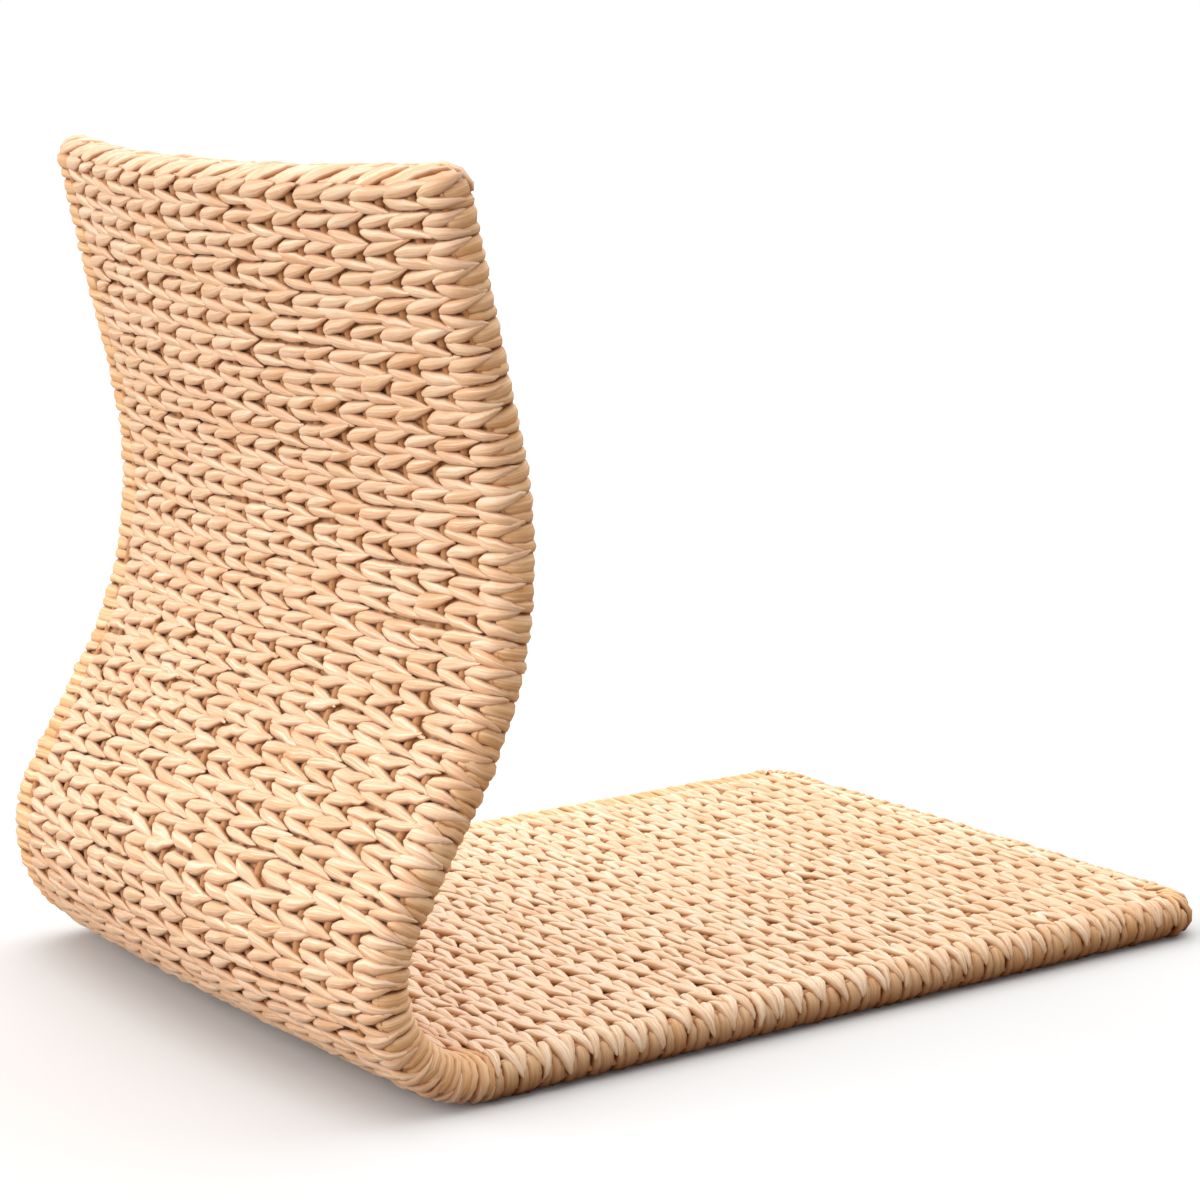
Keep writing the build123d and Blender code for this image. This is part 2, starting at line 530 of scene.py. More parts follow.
class WovenPiece:
    """One visible piece of straw, gathered from copies of the modelled strands."""

    wobble: float = 0.22 * MM
    # Depth under a strand's top at which its painted shade is full.
    sunk: float = -5.0 * MM

    def __init__(self, name: str, rng: np.random.Generator) -> None:
        """Starts an empty piece.

        Args:
            name: Name of the piece.
            rng: Source of the strands' small differences.
        """
        self.name = name
        self.rng = rng
        self.parts: list[tuple[np.ndarray, StrandShape, np.ndarray, np.ndarray]] = []

    def lay(self, shape: StrandShape, surface: Surface, lot: Lot) -> None:
        """Lays copies of a strand on a surface.

        Args:
            shape: The modelled strand.
            surface: The face to lay them on.
            lot: Places, sizes and tones of the copies.
        """
        count = len(lot.along)
        if count == 0:
            return
        local = shape.points[None] * lot.stretch[:, None, :]
        rings = int(shape.ring_of.max()) + 1
        shake = self.rng.normal(0, self.wobble, (count, rings, 2)) * lot.crumple[:, None, None]
        shake = shake[:, shape.ring_of]
        cos, sin = np.cos(lot.slant)[:, None], np.sin(lot.slant)[:, None]
        a = local[..., 0] * cos - local[..., 1] * sin
        b = local[..., 0] * sin + local[..., 1] * cos + shake[..., 0]
        height = local[..., 2] + lot.lift[:, None] + shake[..., 1]
        turn = lot.turn[:, None]
        places = surface.point(lot.along[:, None] + a * turn, lot.across[:, None] + b * turn, height)
        places[..., 2] = np.maximum(places[..., 2], 0.0)
        tone = np.repeat(lot.tone, len(shape.points))
        # How far each point lies under the strand's top, which sets its painted shade.
        sunk = np.clip(local[..., 2] / self.sunk, 0, 1).ravel()
        self.parts.append((places.reshape(-1, 3), shape, tone, sunk))

    def build(self, straw: bpy.types.Material) -> bpy.types.Object:
        """Makes the piece's object.

        Args:
            straw: Its material.

        Returns:
            The finished object.
        """
        places, corners, totals, uvs, tones, depths = [], [], [], [], [], []
        first = 0
        for points, shape, tone, sunk in self.parts:
            count = len(points) // len(shape.points)
            offsets = first + np.arange(count) * len(shape.points)
            places.append(points)
            corners.append((shape.corners[None] + offsets[:, None]).ravel())
            totals.append(np.tile(shape.totals, count))
            uvs.append(np.tile(shape.uv, (count, 1)))
            tones.append(tone)
            depths.append(sunk)
            first += len(points)
        mesh = bpy.data.meshes.new(self.name)
        piece = bpy.data.objects.new(self.name, mesh)
        bpy.context.scene.collection.objects.link(piece)
        totals = np.concatenate(totals)
        corners = np.concatenate(corners)
        mesh.vertices.add(first)
        mesh.vertices.foreach_set("co", np.concatenate(places).ravel())
        mesh.loops.add(len(corners))
        mesh.loops.foreach_set("vertex_index", corners)
        mesh.polygons.add(len(totals))
        mesh.polygons.foreach_set("loop_start", np.concatenate([[0], np.cumsum(totals)[:-1]]))
        mesh.polygons.foreach_set("use_smooth", np.ones(len(totals), bool))
        mesh.update(calc_edges=True)
        mesh.uv_layers.new(name="strand").data.foreach_set("uv", np.concatenate(uvs).ravel())
        for name, values in {"tone": tones, "sunk": depths}.items():
            attribute = mesh.attributes.new(name, "FLOAT", "POINT")
            attribute.data.foreach_set("value", np.concatenate(values).astype(np.float32))
        mesh.materials.append(straw)
        return piece


class NodeSketch:
    """Short way to add and join a material's nodes."""

    def __init__(self, name: str) -> None:
        """Starts a material with a principled shader.

        Args:
            name: Name of the material.
        """
        self.material = bpy.data.materials.new(name)
        self.material.use_nodes = True
        self.tree = self.material.node_tree
        self.shader = self.tree.nodes["Principled BSDF"]

    def add(self, kind: str, inputs: dict | None = None, **settings: object) -> bpy.types.Node:
        """Adds a node.

        Args:
            kind: Blender's name of the node type.
            inputs: Values, or sockets to join, by the input's name or number.
            settings: Properties of the node.

        Returns:
            The node.
        """
        node = self.tree.nodes.new(kind)
        for key, value in settings.items():
            setattr(node, key, value)
        for key, value in (inputs or {}).items():
            self.join(value, node.inputs[key])
        return node

    def join(self, value: object, socket: bpy.types.NodeSocket) -> None:
        """Links a socket to an input, or sets the input's value."""
        if isinstance(value, bpy.types.NodeSocket):
            self.tree.links.new(value, socket)
        else:
            socket.default_value = value

    def math(self, operation: str, *values: object) -> bpy.types.NodeSocket:
        """Adds a math node and gives its result."""
        node = self.add("ShaderNodeMath", dict(enumerate(values)), operation=operation)
        return node.outputs[0]

    def span(self, value: bpy.types.NodeSocket, low: float, high: float, to_low: float = 0.0,
             to_high: float = 1.0) -> bpy.types.NodeSocket:
        """Maps a value from one range to another, clamped."""
        node = self.add("ShaderNodeMapRange", {0: value, 1: low, 2: high, 3: to_low, 4: to_high})
        return node.outputs[0]

    def rise(self, value: bpy.types.NodeSocket, ends: Trio) -> bpy.types.NodeSocket:
        """Rises from 0 at the first end to the third number at the second end, clamped."""
        return self.span(value, ends[0], ends[1], 0.0, ends[2])

    def mix(self, share: object, first: object, second: object) -> bpy.types.NodeSocket:
        """Mixes two colours and gives the result."""
        node = self.add("ShaderNodeMix", data_type="RGBA")
        for index, value in ((0, share), (6, first), (7, second)):
            self.join(value, node.inputs[index])
        return node.outputs[2]

    def noise(self, vector: bpy.types.NodeSocket, scale: float, detail: float,
              roughness: float = 0.55) -> bpy.types.NodeSocket:
        """Adds a noise texture and gives its value."""
        node = self.add("ShaderNodeTexNoise", {"Vector": vector, "Scale": scale, "Detail": detail,
                                               "Roughness": roughness})
        return node.outputs[0]

    def bump(self, height: bpy.types.NodeSocket, strength: float, distance: float) -> None:
        """Gives the shader a bump of a height."""
        node = self.add("ShaderNodeBump", {"Height": height, "Strength": strength, "Distance": distance})
        self.join(node.outputs[0], self.shader.inputs["Normal"])

    def set(self, **values: object) -> None:
        """Sets or joins the shader's inputs, named with _ for each space."""
        for name, value in values.items():
            self.join(value, self.shader.inputs[name.replace("_", " ")])


@dataclass(frozen=True)
class StrawFinish:
    """Dry straw strands with lengthwise fibres, each strand in a tone of its own.

    Attributes:
        name: Name of the material.
        gleam: Colour of the palest fibres, partly a painted highlight.
        pale: Colour of the palest strands.
        warm: Colour of the warmest strands.
        shade: Colour of the painted shade on a strand's flanks.
        deep: Colour of the painted shade where a strand dives under its neighbours and near the floor.
        fibres: Number of fibre streaks round a strand.
        roughness: Roughness of the straw's skin.
        sheen: Weight of its velvety shine.
        gloss: Level of its mirror shine.
        soil: Share of the deep colour painted near the floor, a painted shade darker towards the bottom.
        soil_height: Height up to which the painted shade reaches.
        streaks: Number of fibre streaks along a strand.
        tone_seed: Shift of the fibres from tone to tone.
        tones: Tones of the palest and the warmest strands.
        blotches: Number of blotches to the metre.
        blotch_warmth: Warmth that a blotch adds or takes.
        warm_fibres: Noise from which a fibre is warm, noise at which it is most so, and how much.
        pale_fibres: The same of a pale fibre, whose gleam is partly a painted highlight.
        flanks: Turn from the crest where the flank's painted shade starts, turn where it is full, and its
            share.
        dips: Depth where a strand's painted shade starts, depth where it is darkest, and how steeply.
        dip_share: Share of the deep colour there.
        rough_change: Roughness that fibres take or add.
        sheen_tint: Colour of the velvety shine.
    """

    name: str
    gleam: Colour
    pale: Colour
    warm: Colour
    shade: Colour
    deep: Colour
    fibres: float = 20.0
    roughness: float = 0.45
    sheen: float = 0.4
    gloss: float = 0.45
    soil: float = 0.35
    soil_height: float = 14 * MM
    streaks: float = 1.6
    tone_seed: float = 37.0
    tones: Span = (-1.6, 1.8)
    blotches: float = 55.0
    blotch_warmth: float = 0.18
    warm_fibres: Trio = (0.5, 0.64, 0.75)
    pale_fibres: Trio = (0.5, 0.36, 0.8)
    flanks: Trio = (0.08, 0.21, 0.9)
    dips: Trio = (0.1, 0.9, 1.2)
    dip_share: float = 0.9
    rough_change: Span = (-0.08, 0.12)
    sheen_tint: Colour = (1.0, 0.93, 0.8, 1)

    def build(self) -> bpy.types.Material:
        """Makes the material.

        Returns:
            The material.
        """
        sketch = NodeSketch(self.name)
        uv = sketch.add("ShaderNodeUVMap", uv_map="strand")
        tone = sketch.add("ShaderNodeAttribute", attribute_name="tone").outputs["Fac"]
        sunk = sketch.add("ShaderNodeAttribute", attribute_name="sunk").outputs["Fac"]
        axes = sketch.add("ShaderNodeSeparateXYZ", {0: uv.outputs[0]})
        round_it = sketch.math("MULTIPLY", axes.outputs[0], self.fibres)
        along_it = sketch.math("MULTIPLY", axes.outputs[1], self.streaks)
        seed = sketch.math("MULTIPLY", tone, self.tone_seed)
        grain = sketch.add("ShaderNodeCombineXYZ", {0: round_it, 1: along_it, 2: seed}).outputs[0]
        fibre = sketch.noise(grain, 1.0, 3.0, 0.6)
        place = sketch.add("ShaderNodeTexCoord").outputs["Object"]
        blotch = sketch.noise(place, self.blotches, 2.0)
        blotchy = sketch.span(blotch, 0.35, 0.7, -self.blotch_warmth, self.blotch_warmth)
        warmth = sketch.math("ADD", sketch.span(tone, *self.tones), blotchy)
        colour = sketch.mix(warmth, self.pale, self.warm)
        colour = sketch.mix(sketch.rise(fibre, self.warm_fibres), colour, self.warm)
        # Pale fibre streaks, partly a painted highlight.
        colour = sketch.mix(sketch.rise(fibre, self.pale_fibres), colour, self.gleam)
        # Painted shade on the flanks, which turn away from the light.
        flank = sketch.math("ABSOLUTE", sketch.math("SUBTRACT", axes.outputs[0], 0.5))
        colour = sketch.mix(sketch.rise(flank, self.flanks), colour, self.shade)
        # Painted shade where the strand dives under its neighbours.
        shallow, deepest, power = self.dips
        dip = sketch.math("POWER", sketch.span(sunk, shallow, deepest), power)
        colour = sketch.mix(sketch.math("MULTIPLY", dip, self.dip_share), colour, self.deep)
        # Painted shade near the floor, darker towards the bottom.
        height = sketch.add("ShaderNodeSeparateXYZ", {0: place}).outputs[2]
        colour = sketch.mix(sketch.rise(height, (self.soil_height, 0.0, self.soil)), colour, self.deep)
        smooth, rough = (self.roughness + change for change in self.rough_change)
        sketch.set(Base_Color=colour, Roughness=sketch.span(fibre, 0.3, 0.7, smooth, rough),
                   Specular_IOR_Level=self.gloss, Sheen_Weight=self.sheen, Sheen_Roughness=0.4,
                   Sheen_Tint=self.sheen_tint)
        sketch.bump(fibre, 0.5, 0.5 * MM)
        return sketch.material


@dataclass(frozen=True)
class PaintFinish:
    """Dark satin paint on the hidden steel bars, with a slight orange peel.

    Attributes:
        name: Name of the material.
        colour: Colour of the paint.
        worn: Colour where it is rubbed.
        peel: Number of dimples to the metre.
        rubs: Number of rubbed patches to the metre.
        roughness: Roughness of rubbed and of fresh paint.
    """

    name: str = "frame_paint"
    colour: Colour = (0.035, 0.028, 0.024, 1.0)
    worn: Colour = (0.075, 0.062, 0.052, 1.0)
    peel: float = 900.0
    rubs: float = 40.0
    roughness: Span = (0.35, 0.55)

    def build(self) -> bpy.types.Material:
        """Makes the material.

        Returns:
            The material.
        """
        sketch = NodeSketch(self.name)
        place = sketch.add("ShaderNodeTexCoord").outputs["Object"]
        peel = sketch.noise(place, self.peel, 2.0)
        rubbed = sketch.noise(place, self.rubs, 3.0)
        sketch.set(Base_Color=sketch.mix(sketch.span(rubbed, 0.45, 0.75), self.colour, self.worn),
                   Roughness=sketch.span(rubbed, 0.3, 0.8, *self.roughness))
        sketch.bump(peel, 0.15, 0.1 * MM)
        return sketch.material


STRAW = StrawFinish(
    "straw", gleam=(0.97, 0.76, 0.57, 1), pale=(0.91, 0.62, 0.415, 1), warm=(0.74, 0.41, 0.205, 1),
    shade=(0.52, 0.23, 0.085, 1), deep=(0.42, 0.17, 0.06, 1))
# A paler copy of the straw for the seat: painted light.
LIT_SEAT_STRAW = StrawFinish(
    "lit_seat_straw", gleam=(0.97, 0.80, 0.62, 1), pale=(0.92, 0.68, 0.47, 1), warm=(0.76, 0.46, 0.25, 1),
    shade=(0.60, 0.31, 0.13, 1), deep=(0.45, 0.20, 0.075, 1), sheen=0.2, gloss=0.3)
# A darker, warmer copy of the straw for the back's side edges: painted shade.
SHADED_BACK_EDGE = StrawFinish(
    "shaded_back_edge_straw", gleam=(0.96, 0.70, 0.45, 1), pale=(0.91, 0.59, 0.34, 1), warm=(0.76, 0.40, 0.165, 1),
    shade=(0.46, 0.19, 0.065, 1), deep=(0.36, 0.14, 0.045, 1), sheen=0.1, gloss=0.25)
# A darker copy of the straw for the seat's side edges and the front border: painted shade, much darker
# towards the floor.
SHADED_SEAT_EDGE = StrawFinish(
    "shaded_seat_edge_straw", gleam=(0.95, 0.72, 0.48, 1), pale=(0.90, 0.61, 0.355, 1), warm=(0.74, 0.40, 0.17, 1),
    shade=(0.44, 0.17, 0.05, 1), deep=(0.27, 0.085, 0.022, 1), sheen=0.0, gloss=0.1, soil=0.95,
    soil_height=23 * MM)
CORE_STRAW = StrawFinish(
    "core_straw", gleam=(0.80, 0.48, 0.24, 1), pale=(0.72, 0.40, 0.18, 1), warm=(0.58, 0.28, 0.11, 1),
    shade=(0.50, 0.23, 0.085, 1), deep=(0.40, 0.17, 0.06, 1), fibres=24.0, roughness=0.7)


@dataclass
class Strands:
    """The straw shapes that the cover is twined from, for rows and stitches of a given size."""

    plump: StrandShape = field(init=False)
    blade: StrandShape = field(init=False)
    upper_band: StrandShape = field(init=False)
    lower_band: StrandShape = field(init=False)
    border: StrandShape = field(init=False)
    row: float = 14.6 * MM
    pitch: float = 22.86 * MM
    swell: float = 1.05
    strip_rings: int = 60

    def model(self) -> None:
        """Models each shape, with rings given by aside, half width, top and half depth in millimetres."""
        self.plump = self._shape("plump_stitch", 33.0, ((0.6, -1.4), (6.9, -1.2)), [
            (0.85, 1.9, -0.4, 1.4), (2.0, 3.4, 0.6, 2.4), (3.1, 4.2, 1.2, 3.0), (3.7, 4.0, 1.1, 2.9),
            (5.0, 2.9, 0.6, 2.4), (6.1, 1.8, 0.1, 1.7), (6.7, 0.8, -0.5, 1.0)], self.swell)
        self.blade = self._shape("blade_stitch", 32.0, ((-2.0, -1.5), (-6.5, -1.4)), [
            (-2.2, 1.8, -0.6, 1.4), (-3.0, 3.2, 0.4, 2.3), (-4.0, 3.8, 0.9, 2.8), (-4.4, 3.6, 0.8, 2.7),
            (-5.2, 2.6, 0.4, 2.3), (-5.9, 1.6, -0.1, 1.6), (-6.3, 0.7, -0.7, 1.0)], self.swell)
        self.upper_band = self._shape("upper_band", 61.0, ((1.0, -2.6), (1.6, -2.6)), [
            (1.2, 3.2, -1.6, 1.6), (1.3, 4.5, -0.9, 2.1), (1.4, 5.2, -0.3, 2.6), (1.4, 5.3, 0.2, 3.0),
            (1.5, 5.3, 0.5, 3.2), (1.5, 5.0, 0.4, 3.2), (1.5, 5.1, 0.4, 3.2), (1.6, 5.1, 0.1, 3.0),
            (1.6, 5.0, -0.7, 2.6), (1.6, 4.3, -1.3, 2.1), (1.6, 3.2, -1.8, 1.6)])
        self.lower_band = self._shape("lower_band", 61.0, ((-4.4, -2.6), (-4.8, -2.6)), [
            (-4.4, 1.6, -2.0, 1.2), (-4.5, 2.4, -1.5, 1.6), (-4.6, 3.0, -0.9, 2.0), (-4.8, 3.3, -0.2, 2.4),
            (-5.1, 3.5, 0.4, 2.7), (-5.2, 3.6, 0.6, 2.9), (-5.1, 3.5, 0.4, 2.7), (-4.9, 3.3, -0.3, 2.4),
            (-4.8, 3.0, -1.0, 2.0), (-4.8, 2.4, -1.5, 1.6), (-4.8, 1.6, -2.0, 1.2)])
        self.border = self._shape("border_leaf", 46.0, ((0.6, -1.2), (8.6, -1.8)), [
            (0.9, 1.6, -0.5, 1.3), (1.9, 3.5, 0.2, 2.0), (3.2, 4.7, 0.6, 2.4), (4.9, 5.0, 0.7, 2.5),
            (6.4, 4.6, 0.4, 2.4), (7.6, 3.4, -0.2, 1.9), (8.3, 1.8, -1.0, 1.2)], self.swell)

    def strip(self, name: str, length: float, half_width: float, half_depth: float) -> StrandShape:
        """Models one long flat strip with its upper surface at the origin's height.

        Args:
            name: Name of the strip.
            length: Its length.
            half_width: Half of its width.
            half_depth: Half of its depth.

        Returns:
            The strip.
        """
        body = Ring(0.0, half_width, 0.0, half_depth)
        narrow = Ring(0.0, 0.7 * half_width, -0.2 * half_depth, 0.8 * half_depth)
        rings = [narrow, *[body] * self.strip_rings, narrow]
        return StrandShape(name, length, ((0.0, -half_depth), (0.0, -half_depth)), rings)

    @staticmethod
    def _shape(name: str, length: float, tips: tuple[Span, Span], rings: list[tuple[float, ...]],
               shoulder: float = 1.0) -> StrandShape:
        """Models a strand whose sizes are given in millimetres."""
        scaled = tuple((aside * MM, top * MM) for aside, top in tips)
        sized = [Ring(*(value * MM for value in ring)) for ring in rings]
        return StrandShape(name, length * MM, scaled, sized, shoulder)


@dataclass(frozen=True)
class Rows:
    """How the stitches of the seat or the back are set out.

    Attributes:
        count: Number of rows.
        stitches: Number of stitches round the loop.
        phase: Place round the loop of the first column of heads.
        way: Way that the stitches run round the loop: 1 with it, -1 against it.
        lead: How far an edge band starts before its column.
        tones: Tones added at the first, middle and last rows, as painted light and shade: a lower tone
        is paler. A row by itself takes the last one.
    """

    count: int
    stitches: int
    phase: float
    way: int
    lead: float
    tones: Trio


@dataclass
class Weave:
    """Rows of twined stitches on both faces and round both side edges of the panel.

    The spreads say how much strands differ, size_spread in length, width and depth. The edge bands
    differ less, by the factor band_even, and band_middle is the share of a band's length where its
    side of the loop is read. The straw is crumpled along the back between the two crumpled places.
    """

    panel: Panel
    strands: Strands
    rng: np.random.Generator
    # Painted shade warms the seat's front rows and painted light pales its rows near the bend.
    seat: Rows = Rows(count=32, stitches=46, phase=422 * MM, way=-1, lead=6 * MM, tones=(1.2, -0.3, -2.2))
    # Painted light pales the back's rows towards the top.
    back: Rows = Rows(count=37, stitches=38, phase=406 * MM, way=1, lead=8 * MM, tones=(0.1, 0.0, -0.7))
    hole_before_head: float = 3.8 * MM
    jitter: float = 0.7 * MM
    top_overrun: float = 9 * MM
    wave: float = 0.9 * MM
    wave_length: float = 180 * MM
    wave_shift: float = 0.4
    crumpled: Span = (165 * MM, 232 * MM)
    crumple: float = 2.0
    size_spread: Trio = (0.07, 0.075, 0.12)
    tone_spread: float = 0.5
    row_tone_spread: float = 0.2
    dark_share: float = 0.04
    dark_tone: float = 1.2
    head_spread: float = 0.4 * MM
    place_spread: float = 0.25 * MM
    slant_spread: float = 0.04
    band_even: float = 0.3
    band_middle: float = 0.3

    def rows(self, region: Region) -> Rows:
        """How the stitches of a region are set out."""
        return self.back if region is Region.BACK else self.seat

    def pitch(self, region: Region) -> float:
        """Distance from stitch to stitch round the loop."""
        return self.panel.loop_length / self.rows(region).stitches

    def columns(self, region: Region) -> np.ndarray:
        """Places of the stitches' heads round the loop."""
        rows = self.rows(region)
        return rows.phase + np.arange(rows.stitches) * self.pitch(region)

    def lines(self, region: Region) -> np.ndarray:
        """Finds the lines between a region's rows, even on the outer face.

        Args:
            region: The seat or the back.

        Returns:
            Distances along the profile.
        """
        rows = self.rows(region).count
        if region is Region.BACK:
            return self.panel.even_on_outer_face(rows, self.top_overrun)
        return np.linspace(self.panel.corner_end, 0, rows + 1)

    def heads(self, region: Region, rows: int) -> np.ndarray:
        """Places the heads of a region's stitches, each a little off its column.

        Args:
            region: The seat or the back.
            rows: Number of rows.

        Returns:
            Places round the loop, by row and column.
        """
        drift = self.rng.normal(0, 2 * self.jitter, (rows, 1))
        single = self.rng.normal(0, self.jitter, (rows, self.rows(region).stitches))
        return self.columns(region) + drift + single

    def lot(self, region: Region, lines: np.ndarray, heads: np.ndarray, length: float = 1.0,
            even: float = 1.0) -> Lot:
        """Places one strand in each of some stitches.

        Args:
            region: The seat or the back.
            lines: Lines between the rows.
            heads: Places of the stitches' heads, by row and column.
            length: Factor on the strands' length.
            even: Factor on how much the strands differ in width, place and slant.

        Returns:
            The strands' places, sizes and tones.
        """
        rng, laid = self.rng, self.rows(region)
        rows, each = heads.shape
        count = heads.size
        middles, steps = (lines[1:] + lines[:-1]) / 2, np.diff(lines)
        stretch = rng.normal(1.0, np.array(self.size_spread) * (1.0, even, 1.0), (count, 3))
        stretch[:, 0] *= length
        stretch[:, 1] *= np.repeat(steps / self.strands.row, each)
        tone = rng.normal(0, self.tone_spread, count)
        tone += np.repeat(rng.normal(0, self.row_tone_spread, rows), each)
        tone = np.where(rng.random(count) < self.dark_share, tone + self.dark_tone, tone)
        # Painted light and shade by row, from the rows' tones.
        tone += np.repeat(np.interp(middles, np.linspace(middles[0], middles[-1], 3), laid.tones), each)
        along = heads.ravel() + rng.normal(0, self.head_spread, count)
        swing = 2 * math.pi * along / self.wave_length + np.repeat(np.arange(rows), each) * self.wave_shift
        across = np.repeat(middles, each) + self.wave * np.sin(swing)
        rough = (middles > self.crumpled[0]) & (middles < self.crumpled[1])
        return Lot(
            along=along, across=across + rng.normal(0, self.place_spread * even, count),
            turn=np.full(count, laid.way), stretch=stretch,
            slant=rng.normal(0, self.slant_spread * even, count),
            lift=rng.normal(0, self.place_spread * even, count), tone=tone,
            crumple=np.repeat(np.where(rough, self.crumple, 1.0), each))

    def twine(self, region: Region, straws: dict[str, bpy.types.Material]) -> list[bpy.types.Object]:
        """Twines the rows of one region.

        Each side edge has a column of bands, which also take the place of the next stitch's column.

        Args:
            region: The seat or the back.
            straws: Materials of the stitches, by slot.

        Returns:
            The faces and the edges of the region.
        """
        rows = self.rows(region)
        lines = self.lines(region)
        heads = self.heads(region, rows.count)
        length = self.pitch(region) / self.strands.pitch
        stitch = self.strands.plump, self.strands.blade
        half = rows.stitches // 2
        plain = [column for column in range(rows.stitches) if column % half not in (0, rows.way % half)]
        laid = [(shape, self.lot(region, lines, heads[:, plain], length), 0.0) for shape in stitch]
        starts = heads[:, [0, half]] - rows.way * rows.lead
        laid += [(shape, self.lot(region, lines, starts, even=self.band_even), self.band_middle)
                 for shape in (self.strands.upper_band, self.strands.lower_band)]
        if region is Region.SEAT:
            front = np.array([self.panel.front_axis, self.panel.corner_end])
            heads = self.heads(region, 1)
            laid += [(shape, self.inside(self.lot(region, front, heads, length), shape), 0.0)
                     for shape in stitch]
        pieces = []
        for index, side in enumerate(Side):
            name, node, slot = self.names(region, side)
            piece = WovenPiece(name, self.rng)
            for shape, lot, share in laid:
                middle = lot.along + lot.turn * shape.length * share
                piece.lay(shape, self.panel, lot.pick(self.panel.side(middle) == index))
            pieces.append(dress(piece.build(straws[slot]), node))
        return pieces

    @staticmethod
    def names(region: Region, side: Side) -> tuple[str, str, str]:
        """Names a piece, the node that it stands for and its slot.

        Args:
            region: The seat or the back.
            side: The piece's side of the loop.

        Returns:
            The three names.
        """
        faces = {(Region.BACK, Side.OUTER): "back_rear", (Region.BACK, Side.INNER): "back_front",
                 (Region.SEAT, Side.OUTER): "seat_under", (Region.SEAT, Side.INNER): "seat_top"}
        if (region, side) in faces:
            face = faces[region, side]
            return f"{face}_stitches", f"{face}_weave", "woven_straw"
        edge = f"{side.value}_{region.value}_edge"
        return f"{edge}_bands", f"{edge}_wrap", "straw_edge"

    def inside(self, lot: Lot, shape: StrandShape) -> Lot:
        """Keeps the strands of the foremost row that stay between the front corners.

        Args:
            lot: The row's strands.
            shape: Their shape.

        Returns:
            The strands that are kept.
        """
        first = self.panel.side(lot.along)
        last = self.panel.side(lot.along + lot.turn * shape.length)
        return lot.pick((first == last) & (first % 2 == 0))


@dataclass
class Borders:
    """Strands that close the top edge and the front edge.

    top_ends says how far the leaves start before one end of the edge and stop before the other, and
    top_strip is the half width, half depth and lift of the strip under them. front_strips gives the
    place over the edge and the half width of each strip there, front_strip their half depth and lift.
    """

    panel: Panel
    strands: Strands
    rng: np.random.Generator
    top_pitch: float = 23 * MM
    top_reach: float = 14.5 * MM
    top_slant: float = 0.2
    top_ends: Span = (8 * MM, 30 * MM)
    top_strip: Trio = (15 * MM, 2.4 * MM, -0.8 * MM)
    front_rows: int = 24
    corner_rows: int = 3
    front_heads: Trio = (-27 * MM, -7 * MM, 12 * MM)
    front_strips: tuple[Span, ...] = ((-27 * MM, 8 * MM), (0.0, 19 * MM), (27 * MM, 8 * MM))
    front_strip: Span = (1.5 * MM, -1.8 * MM)
    size_spread: Trio = (0.05, 0.06, 0.08)
    along_spread: float = 0.6 * MM
    across_spread: float = 0.3 * MM
    slant_spread: float = 0.04
    lift_spread: float = 0.25 * MM
    tone_spread: float = 0.5

    def some(self, along: np.ndarray, across: np.ndarray, turn: float, width: np.ndarray | float) -> Lot:
        """Gives strands at some places their small differences.

        Args:
            along: Places of the heads along the surface.
            across: Places of the heads across it.
            turn: 1, or -1 for strands turned half round.
            width: Factor on their width.

        Returns:
            The strands.
        """
        rng, count = self.rng, len(along)
        stretch = np.stack([rng.normal(1.0, spread, count) for spread in self.size_spread], -1)
        stretch[:, 1] *= width
        return Lot(along=along + rng.normal(0, self.along_spread, count),
                   across=across + rng.normal(0, self.across_spread, count),
                   turn=np.full(count, turn), stretch=stretch, slant=rng.normal(0, self.slant_spread, count),
                   lift=rng.normal(0, self.lift_spread, count), tone=rng.normal(0, self.tone_spread, count),
                   crumple=np.ones(count))

    @staticmethod
    def one(along: float, slant: float, lift: float) -> Lot:
        """Places a single strand whose head is at the start of the surface's across."""
        return Lot(along=np.array([along]), across=np.zeros(1), turn=np.ones(1), stretch=np.ones((1, 3)),
                   slant=np.array([slant]), lift=np.array([lift]), tone=np.zeros(1), crumple=np.ones(1))

    def top(self, straw: bpy.types.Material) -> bpy.types.Object:
        """Lays the slanted leaves of the top border on both faces and the strip under them.

        Args:
            straw: Their material.

        Returns:
            The border's piece.
        """
        surface = TopEdge(self.panel)
        piece = WovenPiece("top_border_strands", self.rng)
        reach = self.panel.half_span + self.panel.edge_length / 2
        before, short = self.top_ends
        for turn in (1.0, -1.0):
            heads = np.arange(-reach - before, reach - short, self.top_pitch) * turn
            strands = self.some(heads, np.full(len(heads), -turn * self.top_reach), turn, 1.0)
            strands.slant += self.top_slant
            piece.lay(self.strands.border, surface, strands)
        half_width, half_depth, lift = self.top_strip
        strip = self.strands.strip("top_strip", 2 * reach, half_width, half_depth)
        piece.lay(strip, surface, self.one(-reach, 0.0, lift))
        return dress(piece.build(straw), "top_edge_wrap")

    def front(self, straw: bpy.types.Material) -> bpy.types.Object:
        """Turns stitches over the front edge and round its corners, on strips along the edge.

        Args:
            straw: Their material.

        Returns:
            The border's piece.
        """
        surface = FrontEdge(self.panel)
        corner_step = surface.corner_length / self.corner_rows
        run_step = surface.run_length / self.front_rows
        steps = np.repeat([corner_step, run_step, corner_step],
                          [self.corner_rows, self.front_rows, self.corner_rows])
        middles = np.cumsum(steps) - steps / 2
        piece = WovenPiece("front_border_strands", self.rng)
        for shape in (self.strands.plump, self.strands.blade):
            for start in self.front_heads:
                heads = np.full(len(middles), start)
                piece.lay(shape, surface, self.some(heads, middles, 1.0, steps / self.strands.row))
        half_depth, lift = self.front_strip
        for start, half_width in self.front_strips:
            strip = self.strands.strip("front_strip", surface.length, half_width, half_depth)
            piece.lay(strip, surface, self.one(start, math.pi / 2, lift))
        return dress(piece.build(straw), "front_edge_wrap")


